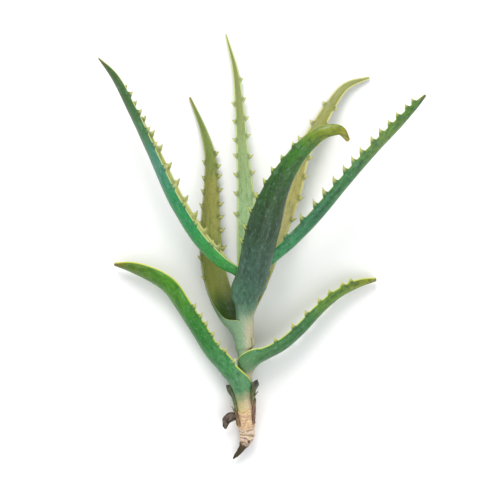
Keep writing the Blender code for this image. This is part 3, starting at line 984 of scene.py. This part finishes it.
def back_leaves() -> tuple[Leaf, ...]:
    """The three leaves that show their channels and rest on the ground at their tips.

    Returns:
        The leaves.
    """
    olive_with_painted_shadow = LeafSkin(
        outer=(
            (0.0, tone(150, 178, 142)),
            (0.14, tone(140, 172, 138)),
            (0.20, tone(84, 138, 92)),
            (0.35, tone(60, 104, 58)),
            (1.0, tone(98, 128, 72)),
        ),
        inner=(
            # the dark stops at the channel's foot, up to 0.20, are painted shadow cast by the leaves in front; from
            # 0.30 on the channel has its own olive
            (0.0, tone(100, 130, 80)),
            (0.20, tone(84, 112, 56)),
            (0.30, tone(168, 172, 98)),
            (0.46, tone(168, 170, 102)),
            (0.62, tone(170, 166, 100)),
            (0.80, tone(136, 152, 84)),
            (0.94, tone(122, 142, 80)),
            (1.0, tone(140, 120, 80)),
        ),
        margin=tone(158, 162, 98),
        specks=0.22,
        shade=tone(96, 118, 58),
        mottle=0.45,
        blush=tone(196, 178, 146),
        blush_share=0.8,
        blush_end=0.36,
        tooth_shadow=0.55,
        rim=0.9,
    )
    sand = LeafSkin(
        outer=((0.0, tone(150, 172, 132)), (0.3, tone(96, 128, 72)), (1.0, tone(110, 128, 70))),
        inner=(
            (0.0, tone(180, 176, 130)),
            (0.30, tone(196, 188, 138)),
            (0.55, tone(182, 174, 114)),
            (0.75, tone(158, 158, 88)),
            (1.0, tone(138, 146, 76)),
        ),
        margin=tone(196, 190, 128),
        specks=0.20,
        shade=tone(128, 134, 74),
        mottle=0.55,
        tooth_shadow=0.6,
        rim=1.0,
    )
    mint = LeafSkin(
        outer=((0.0, tone(120, 160, 130)), (0.5, tone(88, 136, 106)), (1.0, tone(120, 146, 84))),
        inner=(
            (0.0, tone(176, 206, 160)),
            (0.35, tone(180, 208, 162)),
            (0.55, tone(166, 186, 136)),
            (0.75, tone(156, 162, 106)),
            (0.93, tone(150, 150, 92)),
            (1.0, tone(132, 132, 80)),
        ),
        margin=tone(190, 204, 142),
        specks=0.18,
        shade=tone(120, 152, 100),
        mottle=0.5,
        tooth_shadow=0.5,
        rim=1.0,
    )
    return (
        Leaf(
            "leaf_back_left",
            olive_with_painted_shadow,
            (
                on_stem(79, 45, 4.8, 178, 0.6),
                on_stem(84, 45, 5.7, 178, 0.7),
                Knot(-18.0, -77.0, 13.9, 45, 6.9, 178, 0.7),
                Knot(-19.0, -71.0, 14.4, 45, 7.3, 178, 0.7, 1.05),
                Knot(-20.9, -66.2, 14.0, 45, 7.8, 172, 0.8, 1.14),
                Knot(-23.6, -61.6, 13.2, 44, 8.6, 140, 1.0, 1.2),
                Knot(-27.0, -56.8, 12.7, 42, 9.8, 106, 1.4, 1.15),
                Knot(-32.4, -46.6, 12.3, 40, 10.8, 84, 2.0, 1.06),
                Knot(-39.4, -26.0, 12.4, 37, 10.8, 77, 3.2),
                Knot(-42.6, -2.0, 11.8, 35, 10.4, 74, 3.8),
                Knot(-42.4, 20.0, 10.2, 35, 9.0, 72, 3.4),
                Knot(-41.0, 45.0, 7.8, 34, 7.0, 70, 2.8),
                Knot(-41.4, 70.0, 4.8, 32, 5.2, 66, 2.2),
                Knot(-45.4, 87.0, 2.4, 30, 3.4, 64, 1.6),
                Knot(-55.6, 113.4, 0.6, 28, 1.2, 60, 0.8),
            ),
            before=Teeth(68.0, 153.0, 8, 0.9),
            after=Teeth(89.5, 161.0, 8, 0.86),
            tooth_length=3.8,
            splay=0.75,
            sheath=48.0,
            seed=7,
        ),
        Leaf(
            "leaf_back_right",
            sand,
            (
                on_stem(104, -36, 5.9, 46, 0.6),
                on_stem(112, -30, 6.6, 46, 1.1),
                Knot(-3.2, -32.0, 16.6, -22, 9.6, 46, 2.2),
                Knot(3.4, -11.0, 14.2, -14, 10.6, 51, 3.2),
                Knot(13.0, 14.6, 12.0, -16, 10.4, 55, 3.8),
                Knot(22.0, 37.0, 10.2, -20, 9.8, 58, 3.6),
                Knot(32.0, 70.5, 7.2, -24, 8.2, 60, 3.0),
                Knot(40.2, 83.4, 6.0, -26, 7.2, 62, 2.6),
                Knot(51.8, 104.3, 3.8, -28, 5.5, 62, 2.2),
                Knot(64.4, 120.6, 1.9, -28, 4.0, 62, 1.6),
                Knot(81.8, 127.8, 0.6, -28, 1.4, 60, 0.8),
            ),
            before=Teeth(96.0, 178.0, 6),
            after=Teeth(88.5, 180.0, 7),
            tooth_length=3.6,
            splay=0.7,
            seed=11,
        ),
        Leaf(
            "leaf_top_centre",
            mint,
            (
                on_stem(104, 10, 4.7, 42, 0.6),
                on_stem(113, 8, 5.5, 46, 1.1),
                Knot(-12.6, -32.8, 20.8, 6, 8.2, 47, 2.0),
                Knot(-12.6, -10.4, 19.8, 8, 9.2, 51, 3.0),
                Knot(-12.8, 11.9, 18.6, 12, 9.2, 55, 3.6),
                Knot(-14.0, 42.0, 15.2, 16, 7.6, 60, 3.2),
                Knot(-16.0, 72.0, 11.2, 18, 5.8, 60, 2.6),
                Knot(-18.2, 106.0, 6.2, 18, 4.4, 60, 2.0),
                Knot(-21.0, 133.0, 3.0, 18, 3.0, 58, 1.4),
                Knot(-28.0, 161.4, 1.0, 18, 1.0, 54, 0.7),
            ),
            before=Teeth(85.0, 170.0, 7),
            after=Teeth(100.0, 188.0, 7),
            tooth_length=3.2,
            splay=0.8,
            seed=13,
        ),
    )


def raised_leaves() -> tuple[Leaf, ...]:
    """The leaf that leans over the front and the two that spread at its sides.

    Returns:
        The leaves.
    """
    dark = LeafSkin(
        outer=(
            (0.0, tone(166, 184, 152)),
            (0.10, tone(158, 180, 150)),
            (0.15, tone(120, 156, 128)),
            (0.20, tone(84, 126, 100)),
            (0.32, tone(72, 108, 88)),
            (0.48, tone(52, 86, 52)),
            (0.62, tone(50, 94, 34)),
            (0.78, tone(72, 130, 38)),
            (0.93, tone(146, 158, 58)),
            (1.0, tone(172, 160, 74)),
        ),
        inner=((0.0, tone(150, 165, 110)), (0.4, tone(120, 150, 80)), (1.0, tone(150, 160, 70))),
        margin=tone(120, 140, 62),
        tooth=tone(176, 186, 84),
        speck=tone(150, 185, 172),
        specks=0.34,
        shade=tone(28, 48, 28),
        mottle=0.60,
        blush=tone(200, 182, 150),
        blush_share=0.9,
        blush_end=0.17,
        rim=0.7,
    )
    blue = LeafSkin(
        outer=(
            (0.0, tone(110, 176, 120)),
            (0.22, tone(74, 164, 76)),
            (0.42, tone(66, 156, 96)),
            (0.60, tone(92, 152, 128)),
            (0.72, tone(84, 128, 84)),
            (0.84, tone(74, 110, 58)),
            (0.95, tone(78, 106, 50)),
            (1.0, tone(140, 120, 80)),
        ),
        inner=((0.0, tone(186, 196, 144)), (0.4, tone(200, 200, 130)), (0.8, tone(160, 166, 96)), (1.0, tone(90, 112, 60))),
        margin=tone(206, 206, 140),
        specks=0.30,
        shade=tone(52, 110, 84),
        mottle=0.35,
        rim=0.8,
    )
    teal = LeafSkin(
        outer=(
            (0.0, tone(96, 170, 120)),
            (0.25, tone(80, 164, 108)),
            (0.42, tone(58, 130, 84)),
            (0.58, tone(80, 142, 84)),
            (0.78, tone(122, 154, 84)),
            (0.95, tone(102, 140, 66)),
            (1.0, tone(150, 130, 80)),
        ),
        inner=((0.0, tone(190, 200, 140)), (0.4, tone(180, 190, 110)), (1.0, tone(150, 165, 90))),
        margin=tone(180, 190, 104),
        specks=0.30,
        shade=tone(26, 78, 54),
        mottle=0.65,
        rim=0.7,
    )
    return (
        Leaf(
            "leaf_front",
            dark,
            (
                on_stem(90, 180, 5.2, 178, 0.6),
                on_stem(100, 180, 6.2, 178, 0.6),
                on_stem(108, 180, 6.7, 170, 0.7),
                Knot(-13.0, -51.0, 32.2, 182, 7.1, 146, 0.9),
                Knot(-12.5, -45.0, 35.8, 184, 9.3, 118, 1.3),
                Knot(-12.2, -39.6, 39.0, 186, 11.2, 98, 2.0),
                Knot(-6.8, -24.7, 47.4, 192, 12.0, 80, 3.4),
                Knot(-0.8, -3.4, 56.0, 198, 13.2, 75, 4.4),
                Knot(4.6, 18.0, 63.0, 198, 12.8, 75, 4.4),
                Knot(10.4, 37.0, 68.0, 198, 10.2, 75, 4.0),
                Knot(20.2, 56.6, 73.4, 196, 7.6, 73, 3.4),
                Knot(31.6, 71.4, 77.0, 192, 6.2, 71, 3.0),
                Knot(42.6, 80.0, 79.8, 188, 5.2, 70, 2.4),
                Knot(54.0, 81.2, 80.4, 182, 3.8, 68, 1.8),
                Knot(60.2, 73.6, 78.4, 178, 1.4, 66, 1.0),
            ),
            before=Teeth(46.0, 60.0, 2),
            after=Teeth(81.0, 160.0, 8, 0.92),
            tooth_length=4.0,
            splay=0.35,
            sheath=48.0,
            seed=17,
        ),
        Leaf(
            "leaf_upper_left",
            blue,
            (
                on_stem(113, 100, 4.1, 52, 0.9),
                on_stem(122, 98, 4.6, 62, 1.2),
                Knot(-20.0, -22.8, 30.8, 88, 5.4, 100, 1.8),
                Knot(-31.5, -16.4, 34.2, 84, 7.4, 104, 2.6),
                Knot(-46.2, -2.9, 37.0, 83, 8.4, 103, 3.4),
                Knot(-65.6, 25.8, 38.6, 82, 8.9, 99, 4.0),
                Knot(-85.6, 69.8, 39.0, 83, 7.8, 93, 3.6),
                Knot(-98.9, 98.3, 38.0, 92, 6.8, 90, 3.0),
                Knot(-113.6, 126.8, 35.0, 99, 4.6, 84, 2.2),
                Knot(-121.8, 138.6, 33.2, 100, 1.3, 72, 1.0),
            ),
            before=Teeth(62.0, 190.0, 9, 0.9),
            after=Teeth(56.0, 198.0, 11, 0.9),
            tooth_length=4.2,
            tooth_half=2.7,
            seed=19,
        ),
        Leaf(
            "leaf_right",
            teal,
            (
                on_stem(114, -96, 4.2, 54, 0.9),
                on_stem(123, -98, 4.6, 62, 1.2),
                Knot(5.6, -15.6, 31.8, -104, 6.4, 82, 2.0),
                Knot(20.0, -2.8, 35.2, -108, 8.2, 79, 2.8),
                Knot(41.9, 19.4, 37.6, -110, 8.6, 77, 3.6),
                Knot(60.1, 41.4, 38.5, -110, 8.0, 76, 3.6),
                Knot(82.2, 67.1, 38.0, -110, 7.0, 76, 3.2),
                Knot(104.7, 91.2, 35.5, -110, 5.9, 76, 2.6),
                Knot(114.8, 103.0, 33.4, -110, 4.2, 76, 2.0),
                Knot(121.0, 111.2, 32.0, -110, 1.8, 72, 1.1),
            ),
            before=Teeth(72.0, 196.0, 12, 0.85),
            after=Teeth(66.0, 202.0, 14, 0.8),
            tooth_length=5.4,
            tooth_half=2.9,
            seed=23,
        ),
    )


def small_leaves() -> tuple[Leaf, ...]:
    """The unopened heart and the two broken-off leaf feet.

    Returns:
        The leaves.
    """
    pale = LeafSkin(
        outer=((0.0, tone(200, 205, 160)), (0.6, tone(150, 200, 160)), (1.0, tone(120, 170, 130))),
        inner=((0.0, tone(210, 205, 160)), (1.0, tone(170, 190, 130))),
        margin=tone(220, 222, 160),
        specks=0.15,
        mottle=0.15,
    )
    green = LeafSkin(
        outer=((0.0, tone(170, 176, 130)), (0.5, tone(98, 128, 66)), (0.85, tone(76, 98, 50)), (1.0, tone(40, 40, 24))),
        inner=((0.0, tone(150, 150, 100)), (1.0, tone(70, 70, 36))),
        margin=tone(96, 84, 44),
        specks=0.10,
        shade=tone(36, 40, 22),
        mottle=0.7,
    )
    brown = LeafSkin(
        outer=((0.0, tone(150, 140, 96)), (0.5, tone(110, 124, 74)), (0.85, tone(74, 78, 44)), (1.0, tone(34, 30, 20))),
        inner=((0.0, tone(120, 104, 70)), (1.0, tone(60, 48, 32))),
        margin=tone(90, 66, 40),
        specks=0.05,
        shade=tone(30, 24, 16),
        mottle=0.7,
    )
    return (
        Leaf(
            "leaf_heart",
            pale,
            (
                on_stem(120, 150, 1.4, 90, 0.6),
                Knot(-10.6, -27.0, 33.0, 160, 2.4, 90, 0.9),
                Knot(-9.4, -14.0, 35.4, 165, 2.8, 90, 1.1),
                Knot(-9.0, 0.0, 36.4, 170, 2.2, 85, 1.0),
                Knot(-9.4, 10.0, 36.4, 170, 0.8, 80, 0.6),
            ),
            before=Teeth(16.0, 36.0, 4),
            after=Teeth(14.0, 34.0, 4),
            tooth_length=1.4,
            tooth_half=1.4,
            spacing=0.9,
            seed=29,
        ),
        Leaf(
            "leaf_stub_left",
            green,
            (
                on_stem(38, 104, 7.4, 30, 0.8),
                Knot(-23.2, -114.0, 13.2, 106, 6.4, 40, 1.8),
                Knot(-26.0, -108.8, 14.6, 112, 5.0, 46, 2.8),
                Knot(-27.0, -105.0, 15.2, 120, 4.0, 50, 2.2),
            ),
            spacing=0.6,
            ripple=0.25,
            crumple=0.5,
            ragged=1.6,
            blunt=True,
            seed=31,
        ),
        Leaf(
            "leaf_stub_right",
            brown,
            (
                on_stem(45, -112, 7.9, 22, 0.7),
                Knot(-5.4, -108.0, 17.6, -122, 4.8, 46, 1.5),
                Knot(-3.9, -103.8, 19.0, -130, 4.0, 58, 2.2),
                Knot(-4.6, -100.6, 20.0, -140, 3.2, 58, 1.8),
            ),
            spacing=0.6,
            ripple=0.25,
            crumple=0.6,
            ragged=1.6,
            blunt=True,
            seed=37,
        ),
    )


def dry_remains() -> tuple[Leaf, ...]:
    """The dead leaf feet round the top of the stub.

    Returns:
        The flaps, the collar and the curled leaf.
    """
    rust = DrySkin(tone(150, 122, 84), tone(84, 62, 44), tone(186, 160, 116), tone(60, 42, 30))
    plum = DrySkin(tone(150, 116, 96), tone(78, 54, 48), tone(184, 154, 126), tone(58, 38, 34))
    straw = DrySkin(tone(226, 200, 150), tone(198, 160, 134), tone(150, 108, 96), tone(214, 184, 140), ringed=True)
    char = DrySkin(tone(104, 92, 82), tone(34, 26, 20), tone(132, 120, 104), tone(60, 46, 36))
    paper = {"segments": 30, "spacing": 0.5, "ripple": 0.45, "crumple": 0.6, "ragged": 3.4, "blunt": True}
    return (
        Leaf(
            "dry_flap_right_upper",
            rust,
            (
                on_stem(42, -100, 7.5, 20, 0.6),
                Knot(-5.9, -113.2, 15.0, -102, 5.0, 24, 0.6),
                Knot(-3.6, -109.4, 16.0, -104, 3.6, 18, 0.5),
            ),
            seed=41,
            **paper,
        ),
        Leaf(
            "dry_flap_right_lower",
            plum,
            (
                on_stem(30.5, -108, 7.2, 26, 0.6),
                on_stem(36.0, -108, 7.4, 30, 0.7),
                Knot(-5.2, -115.6, 13.8, -104, 6.0, 22, 0.6),
            ),
            seed=43,
            **paper,
        ),
        Leaf(
            "dry_flap_left",
            rust,
            (
                on_stem(30.0, 122, 7.2, 26, 0.6),
                Knot(-20.4, -126.6, 12.8, 114, 6.4, 24, 0.7),
                Knot(-22.4, -121.8, 13.8, 110, 5.0, 14, 0.6),
            ),
            seed=47,
            **paper,
        ),
        Leaf(
            "dry_collar",
            straw,
            (
                on_stem(27.5, 200, 6.6, 179, 0.7),
                on_stem(31.0, 200, 6.8, 179, 0.7),
                on_stem(36.0, 200, 6.8, 179, 0.7),
                on_stem(42.0, 200, 7.1, 179, 0.4),
            ),
            seed=53,
            **paper,
        ),
        Leaf(
            "dry_leaf_curled",
            char,
            (
                Knot(-18.6, -129.6, 11.0, 170, 3.0, 50, 1.2),
                Knot(-22.6, -129.0, 12.6, 165, 4.1, 66, 1.6),
                Knot(-25.4, -131.4, 12.2, 160, 4.4, 72, 1.8),
                Knot(-27.0, -135.0, 10.0, 155, 3.2, 66, 1.4),
                Knot(-27.4, -138.6, 7.6, 150, 1.0, 56, 0.7),
            ),
            segments=18,
            spacing=0.45,
            ripple=0.3,
            crumple=0.8,
            seed=59,
        ),
    )


@dataclass
class Setting:
    """The pale ground, the soft light and the camera that looks straight down."""

    lens: float = 100.0
    height: float = 1039.7  # of the camera above the ground, millimetres
    aim: tuple[float, float] = (-11.85, -0.25)

    def ground(self) -> None:
        """Lay the floor."""
        data = bpy.data.meshes.new("ground")
        mesh = bmesh.new()
        bmesh.ops.create_grid(mesh, x_segments=8, y_segments=8, size=3.0)
        bmesh.ops.translate(mesh, verts=mesh.verts, vec=(0.0, 0.0, -0.0004))
        mesh.to_mesh(data)
        mesh.free()
        floor = bpy.data.objects.new("ground", data)
        bpy.context.collection.objects.link(floor)
        graph = Graph("ground_white")
        coords = graph.tree.nodes.new("ShaderNodeTexCoord").outputs["Object"]
        soft = graph.noise(coords, 6.0, 2.0)
        graph.link(graph.ramp(soft, ((0.3, (0.93, 0.93, 0.925)), (0.7, (0.96, 0.96, 0.955)))), graph.shader, 0)
        graph.set(Roughness=0.9, Specular_IOR_Level=0.1)
        data.materials.append(graph.material)

    def lamp(self, name: str, place: Colour, size: float, power: float, colour: Colour) -> None:
        """Hang one square soft lamp that faces the middle of the plant.

        Args:
            name: The lamp's name.
            place: Where it hangs, in metres.
            size: The length of its side, in metres.
            power: Its power in watts.
            colour: Its colour.
        """
        data = bpy.data.lights.new(name, "AREA")
        data.size = size
        data.energy = power
        data.color = colour
        lamp = bpy.data.objects.new(name, data)
        lamp.location = place
        away = Vector((0.0, 0.0, 0.03)) - Vector(place)
        lamp.rotation_euler = away.to_track_quat("-Z", "Y").to_euler()
        bpy.context.collection.objects.link(lamp)

    def light(self) -> None:
        """Set the sky's glow and hang the lamps."""
        world = bpy.data.worlds.new("studio")
        world.use_nodes = True
        sky = world.node_tree.nodes["Background"]
        sky.inputs["Color"].default_value = (0.98, 0.99, 1.0, 1.0)
        sky.inputs["Strength"].default_value = 0.72
        bpy.context.scene.world = world
        self.lamp("key", (-0.25, 1.15, 0.95), 0.8, 17.0, (1.0, 0.98, 0.94))
        self.lamp("fill", (0.5, -0.7, 1.3), 1.2, 7.0, (0.95, 0.98, 1.0))
        bpy.context.scene.view_settings.view_transform = "Standard"

    def camera(self) -> None:
        """Place the camera."""
        data = bpy.data.cameras.new("above")
        data.lens = self.lens
        data.sensor_width = 36.0
        camera = bpy.data.objects.new("above", data)
        camera.location = (self.aim[0] * MM, self.aim[1] * MM, self.height * MM)
        bpy.context.collection.objects.link(camera)
        bpy.context.scene.camera = camera


def main() -> None:
    """Build the plant piece by piece and set it in its studio."""
    logging.basicConfig(level=logging.INFO, format="%(name)s: %(message)s")
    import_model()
    stub = Stub()
    stub.dress(stub.build())
    for leaf in lower_leaves() + back_leaves() + raised_leaves() + small_leaves() + dry_remains():
        leaf.dress(leaf.build())
    setting = Setting()
    setting.ground()
    setting.light()
    setting.camera()


if __name__ == "__main__":
    main()
